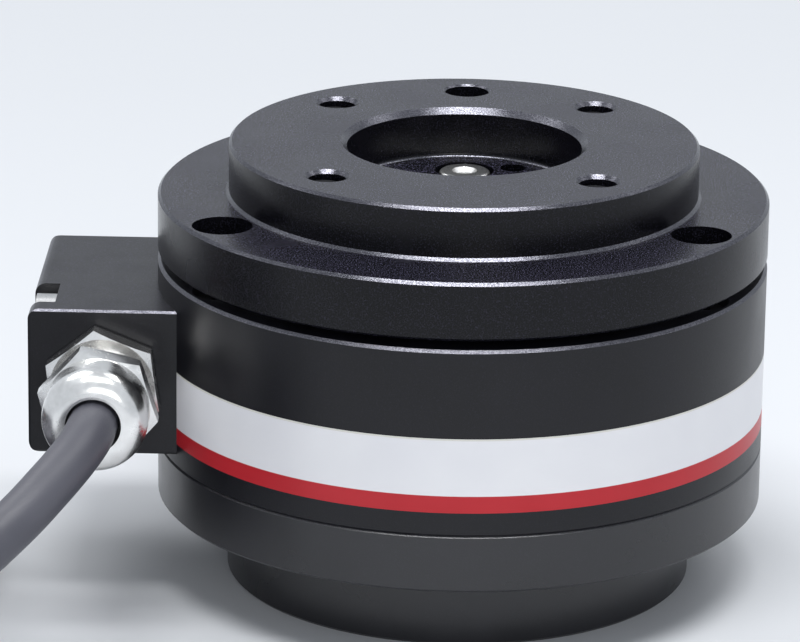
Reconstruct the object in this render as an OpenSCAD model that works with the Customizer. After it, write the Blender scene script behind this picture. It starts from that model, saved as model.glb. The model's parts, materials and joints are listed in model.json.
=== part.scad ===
// Six-axis force torque sensor for a robot wrist.
// Round body between two 50 mm flange patterns, a side box with a cable gland,
// and a cross-beam spring element inside. Z is the axis, z = 0 the mounting face.

/* [Body] */
// Diameter of the tool ring, the housing and the base disc
body_d = 82; // [80:0.5:96]
// Diameter of the raised tool flange
boss_d = 63; // [60:0.5:65]
// Diameter of the foot that stands on the robot flange
foot_d = 63; // [58:0.5:65]
// Height of the foot
foot_h = 11; // [9:0.1:16]
// Thickness of the base disc
base_h = 7.8; // [7:0.1:12]
// Height of the housing
housing_h = 25.2; // [24.5:0.1:32]
// Free gap between the housing and the tool ring
gap_h = 1.2; // [0.6:0.1:2]
// Thickness of the tool ring
ring_h = 7.8; // [6:0.1:12]
// Height of the raised tool flange above the ring
boss_h = 7; // [6:0.1:10]
// Bevel on the turned outer edges
edge = 0.4; // [0.2:0.05:0.8]
// Bevel on both sides of the seam between housing and base
seam_edge = 0.25; // [0.1:0.05:0.5]

/* [Flange pattern] */
// Pitch circle of the flange threads and the dowel hole
bolt_pcd = 50; // [44:0.5:51]
// Core diameter of the M6 threads
bolt_core_d = 5; // [4:0.1:5.2]
// Depth of the flange threads
bolt_depth = 9; // [6:0.5:9.5]
// Bevel at the mouth of each thread
bolt_bevel = 0.5; // [0.2:0.05:0.8]
// Diameter of the locating dowel hole
dowel_d = 6; // [4:0.1:6.5]
// Depth of the locating dowel hole
dowel_depth = 7; // [4:0.5:9]
// Diameter of the centring recess
recess_d = 31.5; // [31:0.1:33]
// Depth of the centring recess in the tool flange
recess_h = 6.9; // [6:0.05:7.5]
// Depth of the centring recess under the foot
foot_recess_h = 4; // [2:0.1:5]
// Bevel at the mouth of the centring recess
recess_bevel = 0.8; // [0.3:0.05:1]

/* [Housing screws] */
// Distance of the access holes and the housing screws under them from the outside
access_in = 4.8; // [4.6:0.05:5]
// Diameter of the access holes in the tool ring
access_d = 8; // [7.4:0.1:8.4]
// Depth of the screw seats below the top of the housing
housing_seat_h = 5.2; // [4.4:0.1:8]
// Length of the housing screws under the head
housing_screw_l = 25; // [24:0.5:26]

/* [Housing] */
// Radial wall of the housing
housing_wall = 10; // [9.7:0.1:10.2]
// Thickness of the lip that covers the spring element
lip_h = 4; // [2.5:0.1:6]
// Free width between the hub and the lip
hub_clear = 3.5; // [2:0.1:5]
// Height of the label above the seam
label_z = 3.2; // [1:0.1:6]
// Width of the label
label_w = 10.1; // [6:0.1:14]
// Depth of the label's recess and thickness of the label
label_t = 0.2; // [0.1:0.05:0.4]
// Outer radius of the soft gap ring
gap_seal_r = 24; // [22.5:0.5:27]
// Width of the soft gap ring
gap_seal_w = 3; // [2:0.1:3.5]

/* [Spring element] */
// Radius of the hub
hub_r = 15; // [14.7:0.1:15.3]
// Depth that the hub's head enters the tool flange
register_h = 1; // [0.5:0.1:1.5]
// Radial width of the rim
rim_w = 6.95; // [6.6:0.05:7.5]
// Height of the rim
rim_h = 17; // [16:0.5:18]
// Width of each beam
beam_w = 6; // [4:0.1:8]
// Height of each beam
beam_h = 8; // [6:0.1:10]
// Height of the beams' underside above the seam
beam_z = 4.2; // [3:0.1:6]
// Thickness of the flexure wall behind each beam
flexure_t = 1.4; // [1:0.1:1.8]
// Radial width of the slot behind each flexure wall
slot_w = 2; // [1:0.1:2.6]
// Half angle of the slot behind each flexure wall
slot_a = 16; // [10:1:18]
// Angle between a rim screw and the nearest main axis
rim_screw_a = 14; // [13:0.5:14]
// Length of the rim screws under the head
rim_screw_l = 20; // [18:0.5:20.5]
// Pitch radius of the hub screws
hub_screw_r = 9.4; // [9:0.1:9.6]
// Length of the hub screws under the head
hub_screw_l = 9.5; // [8:0.5:11]
// Depth of the hub screws' heads below the recess floor
hub_head_sink = 0.45; // [0:0.05:1]
// Pitch radius of the two hub dowels
hub_dowel_r = 12.8; // [12.5:0.1:13]
// Angle of the first hub dowel
hub_dowel_a = 59; // [55:1:62]

/* [Electronics] */
// Width of the ledge between the spring element's rim and the pocket in the base
ledge_w = 1.5; // [1:0.1:3]
// Thickness of the base under the pocket
floor_h = 12.3; // [11:0.1:13]
// Free width between the circuit board and the wall of its pocket
board_clear = 2.5; // [2:0.1:4]
// Thickness of the circuit board
board_t = 1.6; // [1:0.1:2]
// Height of the board spacers
spacer_h = 2.2; // [1.5:0.1:2.6]
// Distance of the board screws from the edge of the board
spacer_in = 3; // [2.6:0.1:3.4]

/* [Terminal box] */
// Width of the box along the side of the housing
box_w = 33.4; // [32:0.2:36]
// Reach of the box out from its seat
box_reach = 19.75; // [17.5:0.25:24]
// Height of the box
box_h = 20; // [19.6:0.2:21]
// Height of the box's underside above the seam
box_z = 1.7; // [1.2:0.1:2.4]
// Wall of the box
box_wall = 2.5; // [2:0.1:3]
// Front wall of the box, which holds the gland's thread
box_front = 6; // [5:0.5:6.5]
// Rounding of the box's outer long edges
box_round = 1.5; // [0.5:0.1:2]
// Bevel around the box's two end faces
box_bevel = 0.3; // [0.1:0.05:0.6]
// Distance of each box screw from the middle of the box along its width
box_screw_y = 9.4; // [9:0.1:10]
// Depth of the box screws' axes below the nearest long edge
box_screw_in = 3.8; // [3.7:0.1:4]
// Width of the open slot around a box screw's head
box_slot_w = 8; // [7.6:0.1:8.4]
// Depth of the open slot around a box screw's head
box_slot_l = 3.4; // [3:0.1:4]
// Diameter of the passage for the leads between box and housing
passage_d = 7; // [5:0.1:8]

/* [Cable gland] */
// Width across flats of the gland's hexagons
gland_af = 14; // [13.6:0.1:15]
// Thickness of the sealing washer
washer_t = 0.5; // [0.3:0.1:1]
// Length of the body's hexagon
body_hex_l = 2.7; // [2.2:0.1:4]
// Diameter of the thread in the box wall
gland_thread_d = 12; // [11:0.5:12]
// Outer diameter of the gland's neck under the nut
neck_d = 11; // [10.4:0.1:11.4]
// Length of the neck
neck_l = 9.3; // [8.8:0.1:9.6]
// Length of the dome nut
nut_l = 10; // [9.6:0.1:12]
// Length of the nut's hexagon
nut_hex_l = 3.2; // [2.5:0.1:4]
// Diameter of the nut's mouth
mouth_d = 7.3; // [7.1:0.1:7.6]
// Turn of the body's hexagon about the gland's axis
body_turn = 8; // [0:1:59]
// Turn of the nut's hexagon about the gland's axis
nut_turn = 17; // [0:1:59]

/* [Cable] */
// Diameter of the cable
cable_d = 6.5; // [6:0.1:6.8]
// Radius of the coil at the middle of its turns
coil_r = 36; // [33:0.5:39]

/* [Hidden] */
$fn = 96;
eps = 0.01;
fit = 0.05;            // radial clearance of located parts
BOLT_ANGLES = [45, 135, 225, 315];
DOWEL_ANGLE = 90;
ACCESS_ANGLES = [90, 210, 330];
BEAM_ANGLES = [45, 135, 225, 315];
HUB_ANGLES = [0, 90, 180, 270];
BOARD_ANGLES = [25, 155, 205, 335];

// heights of the stack
z_base = foot_h;
z_seam = z_base + base_h;
z_housing = z_seam + housing_h;
z_ring = z_housing + gap_h;
z_step = z_ring + ring_h;
z_top = z_step + boss_h;
z_recess = z_top - recess_h;
body_r = body_d / 2;
boss_r = boss_d / 2;
foot_r = foot_d / 2;
recess_r = recess_d / 2;
recess_round = 0.5;
access_r = body_r - access_in;
inner_r = body_r - housing_wall;
lip_r = hub_r + hub_clear;

// screws: diameter, head diameter, head height, socket across flats
M4 = [4, 7, 4, 3];
M4_LOW = [4, 7, 2.8, 2.5];
M3 = [3, 5.5, 3, 2.5];
M2 = [2, 3.8, 1.3, 1.5];
HUB_SCREW = [4, 7, 3.5, 3];
hub_dome = 0.45;       // bevel round the top of the hub screws' heads
head_gap = 0.25;       // radial room around a sunk head
core = 0.82;           // core of a tapped hole over its screw's diameter

// spring element
z_hub = z_ring + register_h;
z_hub_foot = z_seam + 1.7;
z_rim = z_seam + rim_h;
z_beam = z_seam + beam_z;
rim_out = inner_r - fit;
rim_r = rim_out - rim_w;
rim_screw_r = (rim_r + rim_out) / 2;
z_hub_seat = z_recess - hub_head_sink - HUB_SCREW[2];
hub_thread_l = hub_screw_l - (z_hub_seat - z_hub);
hub_dowel_d = 2.5;
hub_dowel_l = 9.5;
hub_dowel_view = 3.5;  // wider upper end of the dowel holes
z_dowel = z_hub + 3.7;
gauge = [5, 3, 0.15];
gauge_lead_d = 1.2;

// electronics
pocket_r = rim_r - ledge_w;
board_r = pocket_r - board_clear;
spacer_r = board_r - spacer_in;
z_board = floor_h + spacer_h;
z_board_top = z_board + board_t;
plug = [5, 8, 3.4];
lead_d = 3;
lead_clear = 0.5;      // between the lead and the hub
plug_x = -hub_r - lead_clear - lead_d / 2;
oring_d = 1.2;
oring_r = inner_r + 1.7;

// terminal box, seated on a flat milled into the housing
seat_x = -sqrt(body_r * body_r - box_w * box_w / 4);
box_x = seat_x - box_reach;
z_box = z_seam + box_z;
z_box_mid = z_box + box_h / 2;
box_screw_z = box_h / 2 - box_screw_in;
box_screw_l = 22;
box_boss_r = 3.4;
gasket_t = 0.8;
gasket_w = 1.2;

// cable gland, on an axis that runs out along -Y
gland_x = box_x + 10.1;
gland_y = -box_w / 2;
neck_shown = 4.5;      // from the body's hexagon to the nut
nut_y = washer_t + body_hex_l + neck_shown;
neck_to = washer_t + body_hex_l + neck_l;
mouth_y = nut_y + nut_l;
hex_r = gland_af / 2 / cos(30);
hex_bevel = (hex_r - gland_af / 2) * tan(30);
dome_round = 3;        // rounding of the nut's dome
sleeve_r = cable_d / 2 + 1.5;
neck_bore_r = sleeve_r;
core_bore_r = cable_d / 2 + 0.4;

// cable: route of the stretch between the gland and the coil, on the floor at its end
cable_r = cable_d / 2;
ROUTE = [
    [-47.1, -20, 30.5], [-47.1, -25, 30.5], [-47.1, -30, 30.5], [-47.2, -34, 30.4],
    [-47.6, -37.5, 30], [-48.5, -41, 29.3], [-50, -44.7, 28.2], [-51.9, -48.3, 26.8],
    [-54.2, -51.8, 25], [-57.1, -55, 22.8], [-60.7, -57.6, 20], [-65.2, -59.8, 16.6],
    [-70.6, -61.4, 12.8], [-77, -62.2, 9.2], [-84.5, -62.2, 6.1], [-93, -61.4, 4],
    [-101.5, -60.4, 3.3], [-110, -60, 3.25]
];
route_end = ROUTE[len(ROUTE) - 1];
CORD_SIDES = 12;

// coil: three turns wide and three high; the last inner turn is open over an arc,
// where the cable's stripped end lies
turn = cable_d;
coil_w = 3 * turn;
coil_x = route_end[0];
coil_y = route_end[1] + coil_r + turn;
tail_r = coil_r - turn;
tail_z = 2.5 * turn;
open_from = 100;       // angle where the open arc begins
open_turn = 100;       // degrees of the open arc, from there to the end of the cable
sleeve_turn = 30;
core_turn = 52;
ferrule_turn = 14;
cores_to = open_from + open_turn - sleeve_turn;
ferrules_to = cores_to - core_turn;
core_d = 1.3;
ferrule_d = 1;
CORES = [-1.5, -0.5, 0.5, 1.5];
TIE_ANGLES = [20, 230];
tie_w = 5;
tie_t = 0.8;
tie_bite = 0.3;        // depth that a drawn tie presses into the coil

// ---- helpers ----

// ring of copies at the given angles on radius r
module around(r, angles) {
    for (a = angles)
        rotate([0, 0, a])
            translate([r, 0, 0])
                children();
}

// turned solid from a list of [radius, height] points
module turned(points) {
    rotate_extrude()
        polygon(points);
}

// drilled hole that goes down from z = 0, with a bevelled mouth
module drill(d, depth, bevel = 0) {
    translate([0, 0, -depth])
        cylinder(d = d, h = depth + eps);
    if (bevel > 0)
        translate([0, 0, -bevel])
            cylinder(d1 = d, d2 = d + 2 * (bevel + eps), h = bevel + eps);
}

// screw that stands on z = 0 with its shank below and its head above
module screw(size, length, dome = 0) {
    socket_depth = size[2] * 0.55;
    difference() {
        union() {
            translate([0, 0, -length])
                cylinder(d = size[0] * core, h = length + eps);
            cylinder(d = size[1], h = size[2]);
            if (dome > 0)
                translate([0, 0, size[2] - eps])
                    cylinder(d1 = size[1], d2 = size[1] - 2 * dome, h = dome + eps);
        }
        translate([0, 0, size[2] + dome - socket_depth])
            cylinder(d = size[3] / cos(30), h = socket_depth + eps, $fn = 6);
    }
}

// hexagonal bar along -Y from the box face
module hex_y(from, to, turn_a) {
    rotate([90, 0, 0])
        rotate([0, 0, 30 + turn_a])
            translate([0, 0, from])
                cylinder(r = hex_r, h = to - from, $fn = 6);
}

// turned solid about the gland's axis, from [radius, distance from the box face] points
module gland_turned(points) {
    rotate([90, 0, 0])
        turned(points);
}

module at_gland() {
    translate([gland_x, gland_y, z_box_mid])
        children();
}

// round bar between two points
module rod(a, b, d) {
    v = b - a;
    l = norm(v);
    translate(a)
        rotate([0, acos(v[2] / l), atan2(v[1], v[0])])
            cylinder(d = d, h = l);
}

// flange interface cut down from z = 0: threads, dowel hole and centring recess
module flange_holes(recess_depth) {
    around(bolt_pcd / 2, BOLT_ANGLES)
        drill(bolt_core_d, bolt_depth, bolt_bevel);
    around(bolt_pcd / 2, [DOWEL_ANGLE])
        drill(dowel_d, dowel_depth, bolt_bevel / 2);
    drill(recess_d, recess_depth, recess_bevel);
}

// ---- tool side ----

// fillet at the foot of the recess wall, seated in wall and floor
module recess_fillet() {
    r = recess_r;
    f = recess_round;
    translate([0, 0, z_recess])
        rotate_extrude()
            difference() {
                translate([r - f, -f])
                    square([2 * f, 2 * f]);
                translate([r - f, f])
                    circle(r = f);
            }
}

module tool_flange() {
    color("#2b2b2e") {
        recess_fillet();
        difference() {
            turned([
                [0, z_ring], [body_r - edge, z_ring], [body_r, z_ring + edge],
                [body_r, z_step - edge], [body_r - edge, z_step],
                [boss_r + edge, z_step], [boss_r, z_step + edge],
                [boss_r, z_top - edge], [boss_r - edge, z_top], [0, z_top]
            ]);
            translate([0, 0, z_top])
                flange_holes(recess_h);
            around(access_r, ACCESS_ANGLES)
                translate([0, 0, z_step])
                    drill(access_d, ring_h + eps);
            translate([0, 0, z_hub])
                drill(2 * (hub_r + fit), register_h + eps);
            around(hub_screw_r, HUB_ANGLES)
                translate([0, 0, z_recess]) {
                    drill(HUB_SCREW[1] + 4 * head_gap, z_recess - z_hub_seat);
                    drill(HUB_SCREW[0] + 2 * fit, z_recess - z_hub + eps);
                }
            around(hub_dowel_r, [hub_dowel_a, hub_dowel_a + 180])
                translate([0, 0, z_recess]) {
                    drill(hub_dowel_view, z_recess - z_dowel);
                    drill(hub_dowel_d, z_recess - z_hub + eps);
                }
        }
    }
}

module hub_screws() {
    color("#c9c9cc")
        around(hub_screw_r, HUB_ANGLES)
            translate([0, 0, z_hub_seat])
                screw(HUB_SCREW, hub_screw_l, hub_dome);
}

module hub_dowels() {
    color("#b9b9bd")
        around(hub_dowel_r, [hub_dowel_a, hub_dowel_a + 180])
            translate([0, 0, z_dowel - hub_dowel_l])
                cylinder(d = hub_dowel_d, h = hub_dowel_l);
}

module gap_ring() {
    color("#1c1c1c")
        translate([0, 0, z_housing])
            difference() {
                cylinder(r = gap_seal_r, h = gap_h);
                translate([0, 0, -eps])
                    cylinder(r = gap_seal_r - gap_seal_w, h = gap_h + 2 * eps);
            }
}

// ---- spring element: hub, four beams, flexure walls and rim, cut from one piece ----

module beam_slots() {
    slot_in = rim_r + flexure_t;
    for (a = BEAM_ANGLES)
        rotate([0, 0, a - slot_a])
            translate([0, 0, z_seam - eps])
                rotate_extrude(angle = 2 * slot_a)
                    translate([slot_in, 0])
                        square([slot_w, rim_h + 2 * eps]);
}

module rim_screw_places() {
    for (a = HUB_ANGLES)
        around(rim_screw_r, [a - rim_screw_a, a + rim_screw_a])
            children();
}

module spring_element() {
    beam_reach = rim_r - hub_r + 1.2;
    color("#c4c6c8")
        difference() {
            union() {
                turned([
                    [rim_r, z_seam], [rim_out, z_seam], [rim_out, z_rim - edge],
                    [rim_out - edge, z_rim], [rim_r + edge, z_rim], [rim_r, z_rim - edge]
                ]);
                turned([
                    [0, z_hub_foot], [hub_r - edge, z_hub_foot], [hub_r, z_hub_foot + edge],
                    [hub_r, z_hub - edge], [hub_r - edge, z_hub], [0, z_hub]
                ]);
                for (a = BEAM_ANGLES)
                    rotate([0, 0, a])
                        translate([hub_r - 0.6, -beam_w / 2, z_beam])
                            cube([beam_reach, beam_w, beam_h]);
            }
            beam_slots();
            rim_screw_places()
                translate([0, 0, z_rim]) {
                    drill(M3[1] + 2 * head_gap, M3[2] + 0.2);
                    drill(M3[0] + 4 * fit, rim_h + eps);
                }
            around(hub_screw_r, HUB_ANGLES)
                translate([0, 0, z_hub])
                    drill(HUB_SCREW[0] * core, hub_thread_l + 1);
            around(hub_dowel_r, [hub_dowel_a, hub_dowel_a + 180])
                translate([0, 0, z_hub])
                    drill(hub_dowel_d, hub_dowel_l - (z_dowel - z_hub));
            translate([-rim_out - eps, 0, z_box_mid])
                rotate([0, 90, 0])
                    cylinder(d = passage_d, h = rim_out - rim_r + 1);
        }
}

module strain_gauges() {
    mid = (hub_r + rim_r) / 2;
    color("#c08a3e")
        for (a = BEAM_ANGLES)
            rotate([0, 0, a]) {
                for (z = [z_beam - gauge[2], z_beam + beam_h])
                    translate([mid - gauge[0] / 2, -gauge[1] / 2, z])
                        cube(gauge);
                for (y = [-beam_w / 2 - gauge[2], beam_w / 2])
                    translate([mid - gauge[0] / 2, y, z_beam + beam_h / 2 - gauge[1] / 2])
                        cube([gauge[0], gauge[2], gauge[1]]);
            }
}

module gauge_leads() {
    color("#8f2f2a")
        around(hub_r + 2, BEAM_ANGLES)
            translate([0, 0, z_board_top])
                cylinder(d = gauge_lead_d, h = z_beam - gauge[2] - z_board_top);
}

module rim_screws() {
    color("#8d8d92")
        rim_screw_places()
            translate([0, 0, z_rim - M3[2] - 0.2])
                screw(M3, rim_screw_l);
}

// ---- housing and base ----

module sensor_housing() {
    label_lo = z_seam + label_z;
    label_hi = label_lo + label_w;
    color("#27272a")
        difference() {
            turned([
                [inner_r, z_seam], [body_r - seam_edge, z_seam],
                [body_r, z_seam + seam_edge], [body_r, label_lo],
                [body_r - label_t, label_lo], [body_r - label_t, label_hi],
                [body_r, label_hi], [body_r, z_housing - edge],
                [body_r - edge, z_housing], [lip_r, z_housing],
                [lip_r, z_housing - lip_h], [inner_r, z_housing - lip_h]
            ]);
            translate([seat_x - body_r, -box_w / 2, z_box])
                cube([body_r, box_w, box_h]);
            around(access_r, ACCESS_ANGLES)
                translate([0, 0, z_housing]) {
                    drill(M4[1] + 4 * head_gap, housing_seat_h);
                    drill(M4[0] + 4 * fit, housing_h + eps);
                }
            translate([seat_x - eps, 0, z_box_mid])
                rotate([0, 90, 0])
                    cylinder(d = passage_d, h = housing_wall);
            box_screw_places()
                translate([0, 0, seat_x - box_x])
                    cylinder(d = M4[0] * core, h = box_screw_l - box_reach + box_slot_l + 0.8);
        }
}

module housing_screws() {
    color("#3a3a3d")
        around(access_r, ACCESS_ANGLES)
            translate([0, 0, z_housing - housing_seat_h])
                screw(M4, housing_screw_l);
}

module label() {
    color("#e8e8ec")
        difference() {
            translate([0, 0, z_seam + label_z])
                difference() {
                    cylinder(r = body_r, h = label_w);
                    translate([0, 0, -eps])
                        cylinder(r = body_r - label_t, h = label_w + 2 * eps);
                }
            translate([seat_x - body_r, -body_r, z_seam])
                cube([body_r, body_d, housing_h]);
        }
}

module seam_seal() {
    color("#1a1a1a")
        translate([0, 0, z_seam - oring_d / 2])
            rotate_extrude()
                translate([oring_r, 0])
                    circle(d = oring_d, $fn = 48);
}

module base_flange() {
    color("#2f2f33")
        difference() {
            turned([
                [0, 0], [foot_r - edge, 0], [foot_r, edge], [foot_r, z_base],
                [body_r - edge, z_base], [body_r, z_base + edge],
                [body_r, z_seam - seam_edge], [body_r - seam_edge, z_seam],
                [pocket_r, z_seam], [pocket_r, floor_h], [0, floor_h]
            ]);
            rotate([180, 0, 0])
                flange_holes(foot_recess_h);
            translate([0, 0, z_seam - oring_d])
                difference() {
                    cylinder(r = oring_r + oring_d / 2 + 0.2, h = oring_d + eps);
                    translate([0, 0, -eps])
                        cylinder(r = oring_r - oring_d / 2 - 0.2, h = oring_d + 3 * eps);
                }
            around(access_r, ACCESS_ANGLES)
                translate([0, 0, z_seam])
                    drill(M4[0] * core, housing_screw_l + housing_seat_h - housing_h + 0.8);
            rim_screw_places()
                translate([0, 0, z_seam])
                    drill(M3[0] * core, rim_screw_l + M3[2] + 0.2 - rim_h + 0.8);
            around(spacer_r, BOARD_ANGLES)
                translate([0, 0, floor_h])
                    drill(M2[0] * core, 4.5);
        }
}

// ---- electronics in the base ----

module circuit_board() {
    color("#1f6b3a")
        translate([0, 0, z_board])
            difference() {
                cylinder(r = board_r, h = board_t);
                around(spacer_r, BOARD_ANGLES)
                    translate([0, 0, -eps])
                        cylinder(d = M2[0] + 4 * fit, h = board_t + 2 * eps);
            }
}

module board_spacers() {
    color("#c9b26a")
        around(spacer_r, BOARD_ANGLES)
            translate([0, 0, floor_h])
                difference() {
                    cylinder(d = 4, h = spacer_h);
                    translate([0, 0, -eps])
                        cylinder(d = M2[0] + 4 * fit, h = spacer_h + 2 * eps);
                }
}

module board_screws() {
    color("#9a9a9e")
        around(spacer_r, BOARD_ANGLES)
            translate([0, 0, z_board_top])
                screw(M2, board_t + spacer_h + 3.5);
}

module board_chips() {
    color("#222222")
        translate([0, 0, z_board_top]) {
            translate([-3.5, -3.5, 0])
                cube([7, 7, 1]);
            for (y = [-10, 7])
                for (x = [-4, 1])
                    translate([x, y, 0])
                        cube([3, 3, 0.9]);
            translate([9, -2.5, 0])
                cube([3, 5, 1.1]);
        }
}

module board_plug() {
    color("#ece8dc")
        translate([plug_x - plug[0] / 2, -plug[1] / 2, z_board_top])
            cube(plug);
}

module inner_lead() {
    z_plug = z_board_top + plug[2];
    path = [
        [gland_x, ROUTE[0][1], z_box_mid], [gland_x, -3.5, z_box_mid],
        [gland_x + 3.5, 0, z_box_mid], [plug_x - 2.5, 0, z_box_mid],
        [plug_x, 0, z_box_mid - 2.5], [plug_x, 0, z_plug]
    ];
    color("#4a4a4d")
        difference() {
            union() {
                for (i = [0 : len(path) - 2])
                    rod(path[i], path[i + 1], lead_d);
                for (i = [1 : len(path) - 2])
                    translate(path[i])
                        sphere(d = lead_d);
            }
            translate([plug_x - 5, -5, z_plug - 5])
                cube([10, 10, 5]);
        }
}

// ---- terminal box ----

// the two box screws' axes, with z = 0 on the box's outer face and +z into the housing
module box_screw_places() {
    for (s = [-1, 1])
        translate([box_x, s * box_screw_y, z_box_mid - s * box_screw_z])
            rotate([0, 90, 0])
                children();
}

// outline across the box, with two rounded outer corners
module box_outline(inset) {
    r = box_round;
    w = box_reach - inset;
    h = box_h - 2 * inset;
    difference() {
        translate([inset, inset])
            square([w, h]);
        for (m = [0, 1])
            translate([0, m * box_h])
                mirror([0, m])
                    translate([inset, inset])
                        difference() {
                            translate([-eps, -eps])
                                square(r + eps);
                            translate([r, r])
                                circle(r = r, $fn = 64);
                        }
    }
}

// block of the box between two heights along Y
module box_block(inset, from, to) {
    translate([box_x, to, z_box])
        rotate([90, 0, 0])
            linear_extrude(to - from)
                box_outline(inset);
}

// bevel around one end face, as a wedge on each straight edge
module box_end_bevel() {
    b = box_bevel;
    for (z = [0, box_h])
        translate([box_x - eps, -box_w / 2, z_box + z])
            rotate([45, 0, 0])
                translate([0, -b / sqrt(2), -b / sqrt(2)])
                    cube([box_reach + 2 * eps, b * sqrt(2), b * sqrt(2)]);
    translate([box_x, -box_w / 2, z_box - eps])
        rotate([0, 0, 45])
            translate([-b / sqrt(2), -b / sqrt(2), 0])
                cube([b * sqrt(2), b * sqrt(2), box_h + 2 * eps]);
}

module terminal_box() {
    color("#2d2d30")
        difference() {
            box_block(0, -box_w / 2, box_w / 2);
            box_end_bevel();
            mirror([0, 1, 0])
                box_end_bevel();
            difference() {
                translate([box_x + box_wall, -box_w / 2 + box_front, z_box + box_wall])
                    cube([box_reach, box_w - box_front - box_wall, box_h - 2 * box_wall]);
                box_screw_places()
                    cylinder(r = box_boss_r, h = box_reach);
            }
            for (s = [-1, 1])
                translate([box_x - eps, s * box_screw_y, z_box_mid - s * box_screw_z]) {
                    rotate([0, 90, 0])
                        cylinder(d = box_slot_w, h = box_slot_l + eps);
                    translate([0, -box_slot_w / 2, s > 0 ? -box_h : 0])
                        cube([box_slot_l + eps, box_slot_w, box_h]);
                }
            box_screw_places()
                cylinder(d = M4_LOW[0] + 4 * fit, h = box_reach + eps);
            at_gland()
                rotate([90, 0, 0])
                    translate([0, 0, -box_front - eps])
                        cylinder(d = gland_thread_d, h = box_front + 2 * eps);
        }
}

module box_gasket() {
    color("#202020")
        translate([seat_x - gasket_t, 0, z_box_mid])
            rotate([0, 90, 0])
                difference() {
                    cylinder(d = passage_d + 2 * gasket_w, h = gasket_t);
                    translate([0, 0, -eps])
                        cylinder(d = passage_d, h = gasket_t + 2 * eps);
                }
}

module box_screws() {
    color("#cfcfd3")
        box_screw_places()
            translate([0, 0, box_slot_l])
                rotate([180, 0, 0])
                    screw(M4_LOW, box_screw_l);
}

// ---- cable gland ----

module gland_washer() {
    color("#242424")
        at_gland()
            difference() {
                hex_y(0, washer_t, body_turn);
                gland_turned([
                    [0, -eps], [gland_thread_d / 2, -eps],
                    [gland_thread_d / 2, washer_t + eps], [0, washer_t + eps]
                ]);
            }
}

module gland_body() {
    hex_to = washer_t + body_hex_l;
    thread_r = gland_thread_d / 2;
    thread_l = box_front - 0.8;
    color("#d5d6d8")
        at_gland()
            difference() {
                union() {
                    intersection() {
                        hex_y(washer_t, hex_to, body_turn);
                        gland_turned([
                            [0, washer_t], [hex_r, washer_t], [hex_r, hex_to - hex_bevel],
                            [gland_af / 2, hex_to], [0, hex_to]
                        ]);
                    }
                    gland_turned([
                        [0, -thread_l], [thread_r - 0.4, -thread_l],
                        [thread_r, -thread_l + 0.4], [thread_r, washer_t + eps],
                        [0, washer_t + eps]
                    ]);
                    gland_turned([
                        [0, hex_to - eps], [neck_d / 2, hex_to - eps],
                        [neck_d / 2, hex_to + neck_l], [0, hex_to + neck_l]
                    ]);
                }
                gland_turned([
                    [0, -thread_l - eps], [core_bore_r, -thread_l - eps],
                    [core_bore_r, hex_to - 1], [neck_bore_r, hex_to - 1],
                    [neck_bore_r, hex_to + neck_l + eps], [0, hex_to + neck_l + eps]
                ]);
            }
}

module gland_seal() {
    from = washer_t + body_hex_l - 1;
    color("#1e1e1e")
        at_gland()
            gland_turned([
                [cable_r, from], [sleeve_r, from], [sleeve_r, from + neck_l + 1],
                [neck_d / 2 - 0.3, from + neck_l + 2], [neck_d / 2 - 0.8, mouth_y - 2],
                [cable_r, mouth_y - 2]
            ]);
}

module gland_nut() {
    dome_r = gland_af / 2 - fit;
    hex_to = nut_y + nut_hex_l;
    bore_to = neck_to + 0.2;
    round_r = dome_r - dome_round;
    round_y = mouth_y - dome_round;
    color("#dcdde0")
        at_gland()
            difference() {
                intersection() {
                    hex_y(nut_y, mouth_y, nut_turn);
                    gland_turned([
                        [0, nut_y], [dome_r + 0.4, nut_y], [hex_r, nut_y + 0.5],
                        [hex_r, hex_to - hex_bevel], [dome_r, hex_to],
                        [dome_r, mouth_y], [0, mouth_y]
                    ]);
                }
                rotate([90, 0, 0])
                    rotate_extrude()
                        difference() {
                            translate([round_r, round_y])
                                square([dome_round + 1, dome_round + 1]);
                            translate([round_r, round_y])
                                circle(r = dome_round);
                        }
                gland_turned([
                    [0, nut_y - eps], [neck_d / 2 + fit, nut_y - eps],
                    [neck_d / 2 + fit, bore_to], [neck_d / 2 - 0.3, mouth_y - 2],
                    [mouth_d / 2, mouth_y - 1.8], [mouth_d / 2, mouth_y + eps],
                    [0, mouth_y + eps]
                ]);
            }
}

// ---- cable ----

// unit direction of the route at point i
function route_dir(i) =
    let (a = ROUTE[max(i - 1, 0)], b = ROUTE[min(i + 1, len(ROUTE) - 1)])
    (b - a) / norm(b - a);

// one ring of points around the route at point i
function route_ring(i) =
    let (
        t = route_dir(i),
        side = cross(t, [0, 0, 1]) / norm(cross(t, [0, 0, 1])),
        up = cross(side, t)
    )
    [for (k = [0 : CORD_SIDES - 1])
        let (a = 360 * (k + 0.5) / CORD_SIDES)
        ROUTE[i] + cable_r * (cos(a) * side + sin(a) * up)];

module cable() {
    n = len(ROUTE);
    m = CORD_SIDES;
    points = [for (i = [0 : n - 1]) each route_ring(i)];
    sides = [for (i = [0 : n - 2]) for (k = [0 : m - 1])
        [i * m + k, i * m + (k + 1) % m, (i + 1) * m + (k + 1) % m, (i + 1) * m + k]];
    start = [for (k = [m - 1 : -1 : 0]) k];
    end = [for (k = [0 : m - 1]) (n - 1) * m + k];
    color("#3b3b3e")
        polyhedron(points = points, faces = concat([start], sides, [end]));
}

// place in the coil, turned to an angle
module at_coil(angle = 0) {
    translate([coil_x, coil_y, 0])
        rotate([0, 0, angle])
            children();
}

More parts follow.
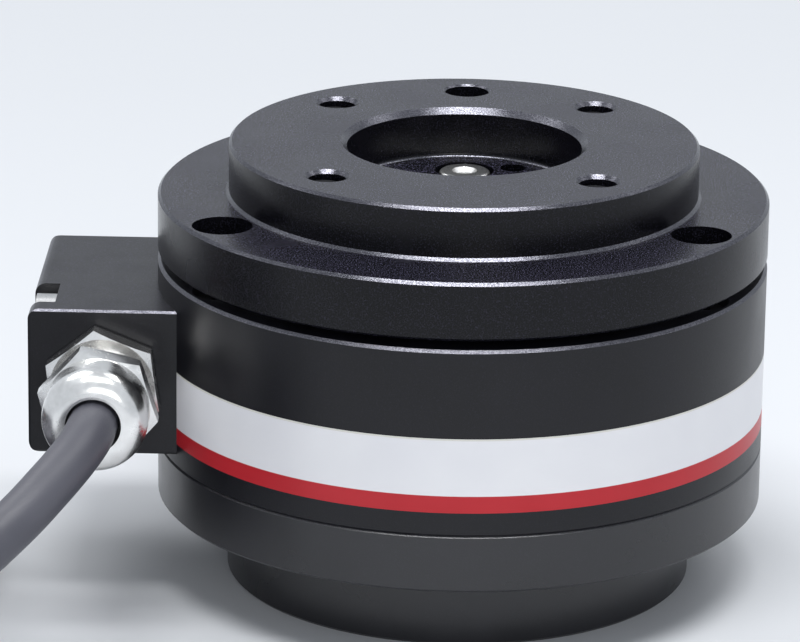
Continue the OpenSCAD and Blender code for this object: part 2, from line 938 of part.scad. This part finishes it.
// tie strap drawn around the coil's section, flush with the surface under the coil
module tie_loop() {
    w = coil_w - 2 * tie_bite;
    h = coil_w - tie_bite;
    translate([coil_r - w / 2 - tie_t, -tie_w / 2, 0])
        difference() {
            cube([w + 2 * tie_t, tie_w, h + tie_t]);
            translate([tie_t, -eps, tie_t])
                cube([w, tie_w + 2 * eps, h - tie_t]);
        }
}

module cable_coil() {
    c = 1.5;
    in = coil_r - coil_w / 2;
    out = coil_r + coil_w / 2;
    color("#37373a")
        difference() {
            at_coil()
                rotate_extrude()
                    polygon([
                        [in + c, 0], [out - c, 0], [out, c], [out, coil_w - c],
                        [out - c, coil_w], [in + c, coil_w], [in, coil_w - c], [in, c]
                    ]);
            at_coil(open_from)
                rotate_extrude(angle = open_turn)
                    translate([in - 1, 2 * turn])
                        square([turn + 1, turn + 1]);
            for (a = TIE_ANGLES)
                at_coil(a)
                    tie_loop();
        }
}

module coil_ties() {
    color("#202022")
        for (a = TIE_ANGLES)
            at_coil(a)
                tie_loop();
}

module end_sleeve() {
    color("#19191b")
        at_coil(cores_to)
            rotate_extrude(angle = sleeve_turn)
                translate([tail_r, tail_z])
                    circle(r = cable_r - fit, $fn = 48);
}

module end_cores() {
    z = 2 * turn + core_d / 2;
    color("#b03a30")
        at_coil(ferrules_to)
            for (k = CORES)
                rotate_extrude(angle = core_turn)
                    translate([tail_r + k * core_d, z])
                        circle(d = core_d - fit, $fn = 24);
}

module end_ferrules() {
    z = 2 * turn + core_d / 2;
    color("#c8c8cc")
        at_coil(ferrules_to - ferrule_turn)
            for (k = CORES)
                rotate_extrude(angle = ferrule_turn)
                    translate([tail_r + k * core_d, z])
                        circle(d = ferrule_d, $fn = 24);
}

tool_flange();
hub_screws();
hub_dowels();
gap_ring();
spring_element();
strain_gauges();
gauge_leads();
rim_screws();
sensor_housing();
housing_screws();
label();
seam_seal();
base_flange();
circuit_board();
board_spacers();
board_screws();
board_chips();
board_plug();
inner_lead();
terminal_box();
box_gasket();
box_screws();
gland_washer();
gland_body();
gland_seal();
gland_nut();
cable();
cable_coil();
coil_ties();
end_sleeve();
end_cores();
end_ferrules();
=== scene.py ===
import json
import math

import bpy
from mathutils import Matrix, Vector


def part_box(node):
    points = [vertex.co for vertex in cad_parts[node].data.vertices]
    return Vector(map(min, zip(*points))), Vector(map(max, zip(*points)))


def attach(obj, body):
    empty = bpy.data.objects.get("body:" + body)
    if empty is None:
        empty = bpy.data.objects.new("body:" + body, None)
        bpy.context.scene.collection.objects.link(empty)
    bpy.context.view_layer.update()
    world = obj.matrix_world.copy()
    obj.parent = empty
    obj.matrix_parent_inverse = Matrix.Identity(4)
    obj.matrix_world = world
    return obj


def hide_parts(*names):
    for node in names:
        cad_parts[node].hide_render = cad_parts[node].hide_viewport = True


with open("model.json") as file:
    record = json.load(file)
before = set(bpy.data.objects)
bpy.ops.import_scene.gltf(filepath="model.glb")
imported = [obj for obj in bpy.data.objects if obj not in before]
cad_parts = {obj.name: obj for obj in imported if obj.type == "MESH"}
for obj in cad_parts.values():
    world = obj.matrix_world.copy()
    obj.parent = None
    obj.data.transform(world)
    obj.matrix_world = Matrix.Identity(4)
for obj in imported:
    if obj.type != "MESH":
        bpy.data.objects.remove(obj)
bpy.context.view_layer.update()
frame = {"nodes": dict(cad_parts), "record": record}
nodes = frame["nodes"]
MM = 0.001


def add_object(name, data):
    """A new object of the scene, with that mesh, curve, camera or lamp."""
    made = bpy.data.objects.new(name, data)
    bpy.context.scene.collection.objects.link(made)
    return made


# ---------------------------------------------------------------- camera

CAMERA_AT = Vector((0.00597, -0.65765, 0.25010))
CAMERA_PITCH = math.radians(18.153)
CAMERA_YAW = math.radians(-1.242)
CAMERA_ROLL = math.radians(0.789)
CAMERA_LENS = 230.15
SENSOR_W = 36
CLIP_START, CLIP_END = 0.01, 20


def make_camera():
    """A long lens that looks down at the front, along +Y."""
    cp, sp = math.cos(CAMERA_PITCH), math.sin(CAMERA_PITCH)
    ahead = Vector((math.sin(CAMERA_YAW) * cp, math.cos(CAMERA_YAW) * cp, -sp))
    side = ahead.cross(Vector((0, 0, 1))).normalized()
    over = side.cross(ahead)
    cr, sr = math.cos(CAMERA_ROLL), math.sin(CAMERA_ROLL)
    right = cr * side + sr * over
    up = -sr * side + cr * over
    data = bpy.data.cameras.new("camera")
    data.lens = CAMERA_LENS
    data.sensor_width = SENSOR_W
    data.clip_start = CLIP_START
    data.clip_end = CLIP_END
    camera = add_object("camera", data)
    turn = Matrix((right, up, -ahead)).transposed().to_4x4()
    camera.matrix_world = Matrix.Translation(CAMERA_AT) @ turn
    bpy.context.scene.camera = camera


# ---------------------------------------------------------------- cable

CABLE_D = 6.5
# millimetres, from the gland down to the floor, where the coil starts
ROUTE = [
    (-47.1, -20, 30.5), (-47.1, -25, 30.5), (-47.1, -30, 30.5), (-47.2, -34, 30.4),
    (-47.6, -37.5, 30), (-48.5, -41, 29.3), (-50, -44.7, 28.2), (-51.9, -48.3, 26.8),
    (-54.2, -51.8, 25), (-57.1, -55, 22.8), (-60.7, -57.6, 20), (-65.2, -59.8, 16.6),
    (-70.6, -61.4, 12.8), (-77, -62.2, 9.2), (-84.5, -62.2, 6.1), (-93, -61.4, 4),
    (-101.5, -60.4, 3.3), (-110, -60, 3.25),
]
COIL_MIDDLE_R = 36
COIL_CENTRE = (ROUTE[-1][0], ROUTE[-1][1] + COIL_MIDDLE_R + CABLE_D)
# column and layer of each turn, from the first to the last
TURNS = [(2, 0), (1, 0), (0, 0), (0, 1), (1, 1), (2, 1), (2, 2), (1, 2), (0, 2)]
# degrees into each turn where the cable starts to move over to the next place
MOVES = [290, 290, 260, 230, 230, 200, 170, 170]
MOVE_LENGTH = 70
COIL_START = -90
COIL_TURNED = 2950
COIL_STEP = 10
CABLE_ROUNDNESS = 6
CABLE_SMOOTHNESS = 4


def coil_place(turned):
    """Radius and height of the cable's middle after so many degrees of coil."""
    k = min(int(turned // 360), len(TURNS) - 1)
    into = turned - 360 * k
    if k > 0 and into < MOVES[k - 1] + MOVE_LENGTH - 360:
        k, into = k - 1, into + 360
    share = 0.0
    if k < len(MOVES):
        share = min(max((into - MOVES[k]) / MOVE_LENGTH, 0.0), 1.0)
    share = share * share * (3 - 2 * share)
    here = TURNS[k]
    after = TURNS[min(k + 1, len(TURNS) - 1)]
    column = here[0] + (after[0] - here[0]) * share
    layer = here[1] + (after[1] - here[1]) * share
    return COIL_MIDDLE_R + CABLE_D * (column - 1), CABLE_D * (layer + 0.5)


def cable_points():
    """The cable's middle line, in metres: the route, and then the coil."""
    points = [Vector(p) * MM for p in ROUTE]
    for turned in range(COIL_STEP, COIL_TURNED + 1, COIL_STEP):
        radius, height = coil_place(turned)
        angle = math.radians(COIL_START - turned)
        x = COIL_CENTRE[0] + radius * math.cos(angle)
        y = COIL_CENTRE[1] + radius * math.sin(angle)
        points.append(Vector((x, y, height)) * MM)
    return points


def make_cable():
    """The cable with its real turns, in place of the closed ring of the CAD."""
    points = cable_points()
    curve = bpy.data.curves.new("cable_run", "CURVE")
    curve.dimensions = "3D"
    curve.bevel_depth = CABLE_D / 2 * MM
    curve.bevel_resolution = CABLE_ROUNDNESS
    curve.resolution_u = CABLE_SMOOTHNESS
    curve.use_fill_caps = True
    spline = curve.splines.new("BEZIER")
    spline.bezier_points.add(len(points) - 1)
    for bezier, point in zip(spline.bezier_points, points):
        bezier.co = point
        bezier.handle_left_type = "AUTO"
        bezier.handle_right_type = "AUTO"
    curve.materials.append(materials["cable_jacket"])
    cable = add_object("cable_run", curve)
    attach(cable, "root")
    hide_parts("cable", "cable_coil")


# ---------------------------------------------------------------- materials

# most of a noise lies between these two values
MIDDLE = (0.3, 0.7)

# low and high colour, low and high roughness
METALS = {
    "bare_aluminium": ((0.70, 0.70, 0.71), (0.78, 0.78, 0.79), 0.24, 0.38),
    "steel_screw": ((0.50, 0.50, 0.50), (0.60, 0.60, 0.595), 0.25, 0.38),
    "black_screw": ((0.03, 0.03, 0.032), (0.05, 0.05, 0.052), 0.3, 0.42),
    # a rougher, lighter copy of the screw steel for the sockets; the lighter colour is a
    # painted highlight
    "socket_steel_painted_highlight": ((0.6, 0.6, 0.59), (0.8, 0.8, 0.79), 0.4, 0.52),
    "dowel_steel": ((0.6, 0.6, 0.61), (0.68, 0.68, 0.69), 0.12, 0.2),
    "brass_spacer": ((0.68, 0.5, 0.2), (0.75, 0.57, 0.26), 0.25, 0.35),
    "ferrule_tin": ((0.62, 0.62, 0.63), (0.7, 0.7, 0.71), 0.3, 0.42),
}

# low and high colour
PLASTICS = {
    "chip": ((0.012, 0.012, 0.012), (0.02, 0.02, 0.02)),
    "plug_plastic": ((0.55, 0.52, 0.45), (0.62, 0.6, 0.52)),
    "lead_red": ((0.45, 0.03, 0.03), (0.52, 0.05, 0.04)),
    "lead_grey": ((0.2, 0.2, 0.21), (0.26, 0.26, 0.27)),
    "tie_plastic": ((0.014, 0.014, 0.015), (0.022, 0.022, 0.023)),
    "sleeve_plastic": ((0.01, 0.01, 0.011), (0.016, 0.016, 0.017)),
}

# painted shade and light: the tool flange is a darker, less shiny copy of the black anodising,
# the base flange a lighter, shinier copy, and the base's bevels get little painted highlight
ANODISED = {
    "black_anodised": dict(
        low=(0.0045, 0.0045, 0.0062), high=(0.0065, 0.0065, 0.009),
        specular=0.35, rough=0.36, painted_glints=0.3),
    "black_anodised_painted_shade": dict(
        low=(0.002, 0.002, 0.003), high=(0.0035, 0.0035, 0.005),
        specular=0.25, rough=0.25),
    "black_anodised_painted_light": dict(
        low=(0.006, 0.006, 0.008), high=(0.009, 0.009, 0.012),
        specular=0.7, rough=0.3, bevel_sheen=0.1, painted_glints=0.3),
}
# the tool flange takes the painted-shade copy and the base flange the painted-light copy
FINISHES = {"tool_flange": "black_anodised_painted_shade", "base_flange": "black_anodised_painted_light"}

# How far up a face points is 0 on a side, 0.7 on a bevel and 1 on a top. The painted highlight
# on up-facing bevels comes in from BEVEL_FROM to BEVEL_FULL, and goes from BEVEL_KEPT to
# BEVEL_GONE.
BEVEL_FROM, BEVEL_FULL = 0.5, 0.6
BEVEL_KEPT, BEVEL_GONE = 0.8, 0.9
TOP_FULL = 0.95
# painted glints: pale blue specks of the grain, full on faces that point up and a small share
# on sides
SIDE_GLINTS = 0.15
GLINT_GRAIN, GLINT_COLOUR = (0.54, 0.68), (0.16, 0.15, 0.25)
# painted highlight on up-facing bevels: its grain range, and its low and high colour
HIGHLIGHT_GRAIN, HIGHLIGHT_LOW, HIGHLIGHT_HIGH = (0.4, 0.65), (0.05, 0.05, 0.062), (0.16, 0.16, 0.18)
ROUGH_CHANGE = 0.04
RUBBER_GRAIN = (0.35, 0.65)

STRIPE_H = 2.3
STRIPE_BLUR = 0.04
# depths under the film's upper edge where its painted shade starts, and where it is full
FILM_SHADE_FROM, FILM_SHADE_FULL = 0.3, 0.2

BOARD_GRIDS_PER_M = 400
TRACK_W = 0.03
GAUGE_WAVES_PER_M = 1500

CORE_D = 1.3
CORE_SHADES = [(0.42, 0.02, 0.02), (0.02, 0.02, 0.022), (0.62, 0.6, 0.56), (0.03, 0.25, 0.06)]


class ShaderTree:
    """Short ways to add nodes to the tree of a material or a world."""

    def __init__(self, tree):
        self.tree = tree

    def add(self, kind, **settings):
        node = self.tree.nodes.new(kind)
        for key, value in settings.items():
            setattr(node, key, value)
        return node

    def join(self, source, target):
        self.tree.links.new(source, target)

    def spread(self, source, low, high, out_low=0.0, out_high=1.0):
        """out_low where source is low, out_high where it is high, and even in between."""
        node = self.add("ShaderNodeMapRange")
        for i, value in enumerate((low, high, out_low, out_high), start=1):
            node.inputs[i].default_value = value
        self.join(source, node.inputs[0])
        return node.outputs[0]

    def maths(self, operation, *values):
        """The operation on numbers or outputs of nodes."""
        node = self.add("ShaderNodeMath", operation=operation)
        for socket, value in zip(node.inputs, values):
            if isinstance(value, (int, float)):
                socket.default_value = value
            else:
                self.join(value, socket)
        return node.outputs[0]

    def parts(self, vector):
        """The x, y and z of a vector."""
        split = self.add("ShaderNodeSeparateXYZ")
        self.join(vector, split.inputs[0])
        return split.outputs


class Paint(ShaderTree):
    """A new material, with the shader's own values, and short ways to colour it."""

    def __init__(self, name, **values):
        self.material = bpy.data.materials.new(name)
        self.material.use_nodes = True
        super().__init__(self.material.node_tree)
        self.shader = self.tree.nodes["Principled BSDF"]
        for key, value in values.items():
            socket = self.shader.inputs[key.replace("_", " ")]
            socket.default_value = (*value, 1) if isinstance(value, tuple) else value
        self.place = self.add("ShaderNodeTexCoord").outputs["Object"]

    def noise(self, size_mm, detail=2.0, roughness=0.5):
        """A noise over the piece, with spots of about that size."""
        node = self.add("ShaderNodeTexNoise")
        node.inputs["Scale"].default_value = 1 / (size_mm * MM)
        node.inputs["Detail"].default_value = detail
        node.inputs["Roughness"].default_value = roughness
        self.join(self.place, node.inputs["Vector"])
        return node.outputs["Fac"]

    def mix(self, share, first, second):
        """A colour between first, at share 0, and second, at share 1."""
        node = self.add("ShaderNodeMix", data_type="RGBA")
        sockets = [s for s in node.inputs if s.type == "RGBA"]
        self.join(share, node.inputs[0])
        for socket, value in zip(sockets, (first, second)):
            if isinstance(value, tuple):
                socket.default_value = (*value, 1)
            else:
                self.join(value, socket)
        return [s for s in node.outputs if s.type == "RGBA"][0]

    def tones(self, source, low, high, between=MIDDLE):
        """A colour from low to high, as source goes between two values."""
        return self.mix(self.spread(source, *between), low, high)

    def colour(self, source):
        self.join(source, self.shader.inputs["Base Color"])

    def rough(self, source, low, high, between=MIDDLE):
        roughness = self.spread(source, *between, low, high)
        self.join(roughness, self.shader.inputs["Roughness"])

    def bump(self, source, height_mm, strength):
        """Small unevenness, as high as source says."""
        node = self.add("ShaderNodeBump")
        node.inputs["Strength"].default_value = strength
        node.inputs["Distance"].default_value = height_mm * MM
        self.join(source, node.inputs["Height"])
        self.join(node.outputs["Normal"], self.shader.inputs["Normal"])


def black_anodised(name, low, high, specular, rough, bevel_sheen=1.0, painted_glints=1.0):
    """Black anodised aluminium: blasted grain, painted glints that grow on faces pointing up,
    and a painted highlight on bevels that face up.
    """
    m = Paint(name, Specular_IOR_Level=specular)
    cloud = m.noise(9, detail=3)
    grain = m.noise(0.2, detail=3, roughness=0.75)
    up = m.parts(m.add("ShaderNodeNewGeometry").outputs["True Normal"])[2]
    # painted highlight: bevels that face up turn lighter and metallic, as if they caught a
    # lamp above
    bevel = m.maths(
        "MINIMUM", m.spread(up, BEVEL_FROM, BEVEL_FULL, 0.0, bevel_sheen),
        m.spread(up, BEVEL_GONE, BEVEL_KEPT))
    # painted glints: bright specks where the grain peaks, more the more a face points up to
    # the light
    facing_up = m.spread(up, BEVEL_FROM, TOP_FULL, SIDE_GLINTS * painted_glints, painted_glints)
    glint_share = m.maths("MULTIPLY", m.spread(grain, *GLINT_GRAIN), facing_up)
    black = m.mix(glint_share, m.tones(cloud, low, high), GLINT_COLOUR)
    # the painted highlight's colour on those bevels
    painted_bevel_highlight = m.tones(grain, HIGHLIGHT_LOW, HIGHLIGHT_HIGH, between=HIGHLIGHT_GRAIN)
    m.colour(m.mix(bevel, black, painted_bevel_highlight))
    m.join(bevel, m.shader.inputs["Metallic"])
    m.rough(cloud, rough - ROUGH_CHANGE, rough + ROUGH_CHANGE)
    m.bump(grain, height_mm=0.02, strength=0.6)
    return m.material


def machined_metal(name, low, high, rough_low, rough_high):
    """Bare metal with a fine grain and a slight change of tone."""
    m = Paint(name, Metallic=1.0)
    cloud = m.noise(4, detail=3)
    grain = m.noise(0.12, detail=3, roughness=0.6)
    m.colour(m.tones(cloud, low, high))
    m.rough(grain, rough_low, rough_high)
    m.bump(grain, height_mm=0.003, strength=0.5)
    return m.material


def nickel_plated():
    """Bright plating, clouded and with slight waves."""
    m = Paint("nickel_plated", Metallic=1.0)
    cloud = m.noise(2.5, detail=4, roughness=0.6)
    m.colour(m.tones(cloud, (0.76, 0.755, 0.74), (0.93, 0.925, 0.91)))
    m.rough(cloud, 0.17, 0.3)
    m.bump(m.noise(0.5, detail=3), height_mm=0.012, strength=0.4)
    return m.material


def rubber():
    """Black rubber with a matt grain."""
    m = Paint("rubber", Specular_IOR_Level=0.4)
    grain = m.noise(0.35, detail=3, roughness=0.6)
    m.colour(m.tones(grain, (0.012, 0.012, 0.013), (0.022, 0.022, 0.024), RUBBER_GRAIN))
    m.rough(grain, 0.5, 0.68)
    m.bump(grain, height_mm=0.05, strength=0.7)
    return m.material


def label_film():
    """White film with one red stripe along its lower edge and painted shade along its upper
    edge.
    """
    m = Paint("label_film", Specular_IOR_Level=0.2, Coat_Weight=0.35, Coat_Roughness=0.2)
    low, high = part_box("label")
    height = m.parts(m.place)[2]
    stripe_top, top = low[2] + STRIPE_H * MM, high[2]
    over = m.spread(height, stripe_top - STRIPE_BLUR * MM, stripe_top + STRIPE_BLUR * MM)
    # painted shade: a darker, duller white along the film's upper edge
    edge = m.spread(height, top - FILM_SHADE_FROM * MM, top - FILM_SHADE_FULL * MM)
    cloud = m.noise(14)
    white = m.tones(cloud, (0.80, 0.80, 0.83), (0.86, 0.86, 0.88))
    white = m.mix(edge, white, (0.72, 0.71, 0.66))
    red = m.tones(cloud, (0.47, 0.014, 0.022), (0.53, 0.02, 0.03))
    m.colour(m.mix(over, red, white))
    m.bump(m.noise(3), height_mm=0.01, strength=0.3)
    return m.material


def plastic(name, low, high):
    """Plain moulded plastic."""
    m = Paint(name)
    grain = m.noise(0.6, detail=3)
    m.colour(m.tones(grain, low, high))
    m.rough(grain, 0.38, 0.5)
    m.bump(grain, height_mm=0.01, strength=0.5)
    return m.material


def circuit_board():
    """Green board with a fine grid of tracks under its lacquer."""
    m = Paint("circuit_board", Coat_Weight=0.4, Coat_Roughness=0.2)
    grid = m.add("ShaderNodeTexBrick")
    grid.inputs["Scale"].default_value = BOARD_GRIDS_PER_M
    grid.inputs["Mortar Size"].default_value = TRACK_W
    m.join(m.place, grid.inputs["Vector"])
    cloud = m.noise(3, detail=3)
    green = m.tones(cloud, (0.012, 0.10, 0.035), (0.02, 0.15, 0.05))
    m.colour(m.mix(grid.outputs["Fac"], green, (0.06, 0.24, 0.09)))
    m.rough(cloud, 0.35, 0.5)
    m.bump(grid.outputs["Fac"], height_mm=0.03, strength=0.4)
    return m.material


def gauge_foil():
    """Copper-coloured film with the fine lines of a strain gauge."""
    m = Paint("gauge_foil")
    wave = m.add("ShaderNodeTexWave")
    wave.inputs["Scale"].default_value = GAUGE_WAVES_PER_M
    m.join(m.place, wave.inputs["Vector"])
    m.colour(m.mix(wave.outputs["Fac"], (0.55, 0.24, 0.06), (0.75, 0.5, 0.22)))
    m.rough(wave.outputs["Fac"], 0.3, 0.5, between=(0, 1))
    return m.material


def cable_jacket():
    """Matt grey cable jacket with a faint grain."""
    m = Paint("cable_jacket", Specular_IOR_Level=0.5)
    cloud = m.noise(12)
    grain = m.noise(0.3, detail=3, roughness=0.6)
    m.colour(m.tones(cloud, (0.075, 0.075, 0.093), (0.095, 0.095, 0.115)))
    m.rough(grain, 0.42, 0.52)
    m.bump(grain, height_mm=0.015, strength=0.5)
    return m.material


def core_insulation():
    """Four wires side by side, each in its own colour."""
    m = Paint("core_insulation", Roughness=0.4)
    x, y = m.parts(m.place)[:2]
    dx = m.maths("SUBTRACT", x, COIL_CENTRE[0] * MM)
    dy = m.maths("SUBTRACT", y, COIL_CENTRE[1] * MM)
    square = m.maths("ADD", m.maths("MULTIPLY", dx, dx), m.maths("MULTIPLY", dy, dy))
    radius = m.maths("SQRT", square)
    count = len(CORE_SHADES)
    first = (COIL_MIDDLE_R - CABLE_D - count / 2 * CORE_D) * MM
    ramp = m.add("ShaderNodeValToRGB")
    ramp.color_ramp.interpolation = "CONSTANT"
    stops = ramp.color_ramp.elements
    stops[1].position = 1 / count
    for i in range(2, count):
        stops.new(i / count)
    for stop, shade in zip(stops, CORE_SHADES):
        stop.color = (*shade, 1)
    m.join(m.spread(radius, first, first + count * CORE_D * MM), ramp.inputs[0])
    m.colour(ramp.outputs[0])
    grain = m.noise(0.4)
    m.rough(grain, 0.35, 0.45)
    m.bump(grain, height_mm=0.01, strength=0.3)
    return m.material


def make_materials():
    """Every material by its name, which is a slot of the record or a finish of this scene."""
    made = {name: black_anodised(name, **look) for name, look in ANODISED.items()}
    made.update({name: machined_metal(name, *look) for name, look in METALS.items()})
    made.update({name: plastic(name, *look) for name, look in PLASTICS.items()})
    made["rubber"] = rubber()
    made["label_film"] = label_film()
    made["circuit_board"] = circuit_board()
    made["gauge_foil"] = gauge_foil()
    made["nickel_plated"] = nickel_plated()
    made["cable_jacket"] = cable_jacket()
    made["core_insulation"] = core_insulation()
    return made


def dress_nodes():
    """Each CAD node gets its finish, or the material of its slot."""
    for part in frame["record"]["subparts"]:
        node = part["node"]
        mesh = nodes[node].data
        mesh.materials.clear()
        mesh.materials.append(materials[FINISHES.get(node, part["material_slot"])])


# ---------------------------------------------------------------- screws, fillet and threads

# points on a ring, of screws and of the recess
SIDES = 48
RECESS_SIDES = 3 * SIDES

HUB_SCREW_R = 9.4
HUB_SCREWS = 4
HEAD_R, HEAD_H, SHANK_R = 3.5, 3.5, 2.0
# radius and depth of the round at the head's top
HEAD_ROUND = [(2.9, 0.0), (3.2, 0.06), (3.4, 0.2), (HEAD_R, 0.45)]
SOCKET_AF, SOCKET_DEPTH = 2.4, 1.8
MOUTH_R, MOUTH_FOOT_R, MOUTH_DEPTH = 1.7, 1.12, 0.6
# radius of the pinhole that ends a closed face, and height of the socket's step
PINHOLE = 0.02

RECESS_R, RECESS_H = 15.75, 6.9
FILLET_R, FILLET_STEPS = 0.7, 8

BOLT_R, BOLT_START, BOLTS = 25.0, 45, 4
BOLT_CORE_R = 2.5
PITCH, RIDGE, RIDGE_HALF_W = 1.0, 0.16, 0.3
# how far a ridge's foot lies inside the wall of its hole
RIDGE_SUNK = 0.01
# depth of the first ridge's start, turns of the thread, and points in each turn
THREAD_FROM, THREAD_TURNS, TURN_STEPS = 0.9, 7, 32


def polar(radius, angle, height):
    """The point at that radius and angle round Z."""
    return Vector((radius * math.cos(angle), radius * math.sin(angle), height))


def ring(radius, height, sides=SIDES):
    """A ring of points round Z."""
    return [polar(radius, 2 * math.pi * i / sides, height) for i in range(sides)]


def hexagon(flats, height):
    """As many points as a ring has, on a hexagon of that width across its flats."""
    points = []
    for i in range(SIDES):
        angle = 2 * math.pi * i / SIDES
        off_middle = angle % (math.pi / 3) - math.pi / 6
        points.append(polar(flats / 2 / math.cos(off_middle), angle, height))
    return points


def add_piece(name, strips, material, closed=True, smooth=False):
    """One mesh of quad strips, each strip a list of rows of points in millimetres."""
    verts, faces = [], []
    for rows in strips:
        start = len(verts)
        n = len(rows[0])
        for row in rows:
            verts.extend(p * MM for p in row)
        for k in range(len(rows) - 1):
            a, b = start + k * n, start + (k + 1) * n
            for i in range(n if closed else n - 1):
                j = (i + 1) % n
                faces.append((a + i, a + j, b + j, b + i))
    mesh = bpy.data.meshes.new(name)
    mesh.from_pydata(verts, [], faces)
    mesh.polygons.foreach_set("use_smooth", [smooth] * len(faces))
    mesh.materials.append(material)
    piece = add_object(name, mesh)
    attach(piece, "root")
    return piece


def make_hub_screws():
    """Socket screws with a rounded head edge and a socket that narrows downwards."""
    low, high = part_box("hub_screws")
    top, foot = high[2] / MM, low[2] / MM
    socket = [
        ring(PINHOLE, top - SOCKET_DEPTH), hexagon(SOCKET_AF, top - SOCKET_DEPTH),
        hexagon(SOCKET_AF, top - MOUTH_DEPTH - PINHOLE),
        ring(MOUTH_FOOT_R, top - MOUTH_DEPTH), ring(MOUTH_R, top),
    ]
    head = [ring(radius, top - depth) for radius, depth in HEAD_ROUND]
    shank = [
        ring(HEAD_R, top - HEAD_H), ring(SHANK_R, top - HEAD_H), ring(SHANK_R, foot),
        ring(PINHOLE, foot),
    ]
    profile = socket + head + shank
    strips = []
    for i in range(HUB_SCREWS):
        middle = polar(HUB_SCREW_R, 2 * math.pi * i / HUB_SCREWS, 0)
        strips.append([[p + middle for p in row] for row in profile])
    # painted highlight: the socket's faces take the lighter copy of the screw steel, the rest
    # plain steel
    screws = add_piece("hub_screw_set", strips, materials["socket_steel_painted_highlight"])
    screws.data.materials.append(materials["steel_screw"])
    for face in screws.data.polygons:
        row = face.index // SIDES % (len(profile) - 1)
        in_socket = row < len(socket) - 1
        face.material_index = 0 if in_socket else 1
    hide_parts("hub_screws")


def make_recess_fillet():
    """The round between the wall and the floor of the tool flange's recess."""
    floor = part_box("tool_flange")[1][2] / MM - RECESS_H
    rows = []
    for i in range(FILLET_STEPS + 1):
        turn = math.pi / 2 * i / FILLET_STEPS
        inward, up = FILLET_R * (1 - math.cos(turn)), FILLET_R * (1 - math.sin(turn))
        rows.append(ring(RECESS_R - inward, floor + up, RECESS_SIDES))
    material = nodes["tool_flange"].data.materials[0]
    add_piece("recess_fillet", [rows], material, smooth=True)


def thread_ridge(middle, face, way):
    """A ridge that winds into a hole: way is -1 down from its face and 1 up from it."""
    rows = []
    for inward, shift in ((0.0, -RIDGE_HALF_W), (RIDGE, 0.0), (0.0, RIDGE_HALF_W)):
        radius = BOLT_CORE_R + RIDGE_SUNK - inward
        row = []
        for i in range(THREAD_TURNS * TURN_STEPS + 1):
            turns = i / TURN_STEPS
            height = face + way * (THREAD_FROM + PITCH * turns) + shift
            row.append(middle + polar(radius, way * 2 * math.pi * turns, height))
        rows.append(row)
    return rows


def make_threads():
    """The ridges of the M6 threads, on the walls of their holes in both flanges."""
    top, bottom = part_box("tool_flange")[1][2] / MM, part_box("base_flange")[0][2] / MM
    strips = []
    for face, way in ((top, -1), (bottom, 1)):
        for i in range(BOLTS):
            middle = polar(BOLT_R, math.radians(BOLT_START + 360 / BOLTS * i), 0)
            strips.append(thread_ridge(middle, face, way))
    add_piece(
        "thread_ridges", strips, materials["black_anodised"], closed=False)


# ---------------------------------------------------------------- stage

DAYLIGHT = (0.88, 0.93, 1.0)
# strength of the world as light on the object, and as it is seen or mirrored
WORLD_LIGHT, WORLD_SHOWN = 0.42, 0.75

FLOOR_HALF = 4
FLOOR_GLOW = 0.4
# metres from the middle where the floor's glow starts, and where it is full
GLOW_FROM, GLOW_FULL = 0.25, 1.6

LAMP_AIM = Vector((0, 0, 0.03))
# place and size in metres, power in watts, spread in degrees
LAMPS = {
    "lamp_top": ((0.0, -0.2, 0.7), (0.5, 0.12), 0.8, 90),
    "lamp_front": ((0.2, -1.4, 0.5), (0.8, 0.5), 3.6, 180),
    "lamp_left": ((-0.4, 0.35, 0.75), (0.4, 0.4), 2.2, 180),
    "lamp_right": ((0.4, 0.35, 0.75), (0.4, 0.4), 1.7, 180),
}


def shown_ray(m):
    """1 where the camera, a reflection or a see-through surface looks, else 0."""
    rays = m.add("ShaderNodeLightPath").outputs
    shown = m.maths("MAXIMUM", rays["Is Camera Ray"], rays["Is Glossy Ray"])
    return m.maths("MAXIMUM", shown, rays["Is Transmission Ray"])


def make_world():
    """An even, slightly blue studio."""
    world = bpy.data.worlds.new("studio")
    world.use_nodes = True
    m = ShaderTree(world.node_tree)
    background = m.tree.nodes["Background"]
    background.inputs["Color"].default_value = (*DAYLIGHT, 1)
    strength = m.spread(shown_ray(m), 0.0, 1.0, WORLD_LIGHT, WORLD_SHOWN)
    m.join(strength, background.inputs["Strength"])
    bpy.context.scene.world = world


def make_floor():
    """A pale floor that glows more with distance where it is seen, and keeps its shadow."""
    m = Paint("floor", Roughness=0.85, Specular_IOR_Level=0.2, Emission_Color=DAYLIGHT)
    m.colour(m.tones(m.noise(400), (0.72, 0.74, 0.77), (0.75, 0.77, 0.8)))
    away = m.add("ShaderNodeVectorMath", operation="LENGTH")
    m.join(m.place, away.inputs[0])
    glow = m.spread(away.outputs["Value"], GLOW_FROM, GLOW_FULL, 0.0, FLOOR_GLOW)
    m.join(m.maths("MULTIPLY", glow, shown_ray(m)), m.shader.inputs["Emission Strength"])
    mesh = bpy.data.meshes.new("floor")
    corners = [(-1, -1), (1, -1), (1, 1), (-1, 1)]
    verts = [(FLOOR_HALF * x, FLOOR_HALF * y, 0) for x, y in corners]
    mesh.from_pydata(verts, [], [(0, 1, 2, 3)])
    mesh.materials.append(m.material)
    floor = add_object("floor", mesh)


def make_lamps():
    """Soft rectangular lamps, all aimed at the object."""
    for name, (at, size, power, spread) in LAMPS.items():
        data = bpy.data.lights.new(name, "AREA")
        data.shape = "RECTANGLE"
        data.size, data.size_y = size
        data.energy = power
        data.spread = math.radians(spread)
        lamp = add_object(name, data)
        lamp.location = at
        lamp.rotation_euler = (LAMP_AIM - Vector(at)).to_track_quat("-Z", "Y").to_euler()


# ---------------------------------------------------------------- the scene

bpy.context.scene.view_settings.view_transform = "Standard"
make_camera()
materials = make_materials()
dress_nodes()
make_cable()
make_hub_screws()
make_recess_fillet()
make_threads()
make_world()
make_floor()
make_lamps()
